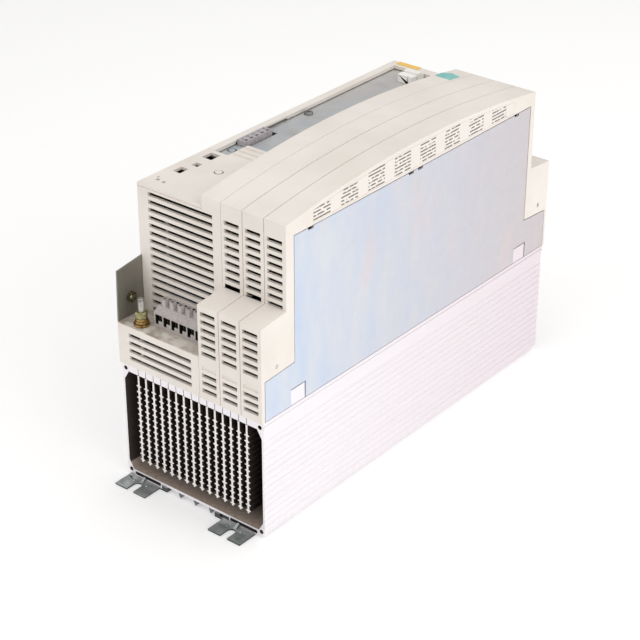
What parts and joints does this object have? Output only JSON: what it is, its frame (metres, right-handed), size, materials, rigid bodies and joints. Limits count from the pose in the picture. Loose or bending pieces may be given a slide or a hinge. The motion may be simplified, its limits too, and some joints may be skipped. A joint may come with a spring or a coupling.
{
  "type": "servo drive",
  "caption": "Book-size servo drive with arched louvred plastic housing, galvanised side plates, finned heat sink tunnel, fan, terminals and slotted mounting feet.",
  "frame": {"origin": "centre of the mounting plane, under the four bracket feet", "axes": "+Z from the mounting plane to the front, +Y along the length to the mains end, +X across the width to the arched strips"},
  "size_m": [0.135, 0.3788, 0.25],
  "materials": {
    "extruded_aluminium": "etched extrusion, satin",
    "fin_aluminium": "sawn extrusion, satin",
    "fan_plastic": "moulded",
    "galvanised_steel": "galvanised sheet",
    "shield_steel": "galvanised sheet",
    "ear_steel": "galvanised sheet",
    "bracket_steel": "galvanised sheet",
    "bright_wire": "plated wire",
    "steel_screws": "zinc plated",
    "washer_brass": "yellow plated",
    "pin_brass": "plated pins",
    "copper": "copper, drawn",
    "beige_plastic": "moulded, fine texture",
    "white_plastic": "moulded",
    "grey_plastic": "moulded",
    "dark_plastic": "moulded",
    "module_plastic": "moulded",
    "sensor_plastic": "moulded",
    "capacitor_sleeve": "shrink sleeve",
    "ferrite": "ferrite and tape",
    "board_laminate": "solder mask",
    "teal_plastic": "moulded",
    "yellow_film": "printed film",
    "label_film": "blank film"
  },
  "bodies": {
    "chassis": {"heatsink_tunnel": "extruded_aluminium", "fin_base_plate": "extruded_aluminium", "cooling_fins": "fin_aluminium", "fan_frame": "fan_plastic", "fan_shroud": "galvanised_steel", "fan_guard": "bright_wire", "fan_screws": "steel_screws", "bracket_motor_left": "bracket_steel", "bracket_motor_right": "bracket_steel", "bracket_mains_left": "bracket_steel", "bracket_mains_right": "bracket_steel", "lower_housing": "beige_plastic", "main_cover": "beige_plastic", "strip_cover_1": "beige_plastic", "strip_cover_2": "beige_plastic", "strip_cover_3": "beige_plastic", "shield_plate": "shield_steel", "shield_screws": "steel_screws", "side_plate_left": "ear_steel", "ear_nut": "washer_brass", "side_plate_right": "galvanised_steel", "plate_hooks": "extruded_aluminium", "side_screws": "steel_screws", "card_latch": "white_plastic", "latch_block": "white_plastic", "marker_strip": "yellow_film", "blank_label": "label_film", "badge": "teal_plastic", "plug_header": "dark_plastic", "header_pins": "pin_brass", "motor_terminal_base": "grey_plastic", "motor_terminal_cover": "grey_plastic", "motor_terminal_screws": "steel_screws", "mains_terminal_base": "grey_plastic", "mains_terminal_cover": "grey_plastic", "mains_terminal_screws": "steel_screws", "earth_stud": "steel_screws", "earth_nut": "steel_screws", "earth_washers": "washer_brass", "control_board": "board_laminate", "board_standoffs": "steel_screws", "processor_chips": "dark_plastic", "signal_sockets": "dark_plastic", "power_board": "board_laminate", "power_module": "module_plastic", "rectifier_module": "dark_plastic", "module_screws": "steel_screws", "bus_capacitors": "capacitor_sleeve", "capacitor_clamp": "dark_plastic", "bus_bars": "copper", "current_sensors": "sensor_plastic", "supply_transformer": "ferrite", "filter_choke": "copper", "board_connector": "dark_plastic"},
    "fan": {"fan_rotor": "fan_plastic"},
    "plug": {"control_plug": "grey_plastic", "plug_screws": "steel_screws"},
    "cover": {"grip_cover": "beige_plastic"}
  },
  "joints": [
    {"name": "fan_spin", "type": "hinge", "parent": "chassis", "child": "fan", "pos_m": [0, 0.1505, 0.05], "axis": [0, 1, 0], "continuous": true},
    {"name": "plug_pull", "type": "slide", "parent": "chassis", "child": "plug", "axis": [0, 0, 1], "range_m": [0, 0.012]},
    {"name": "cover_slide", "type": "slide", "parent": "chassis", "child": "cover", "axis": [0, -1, 0], "range_m": [0, 0.01]}
  ]
}
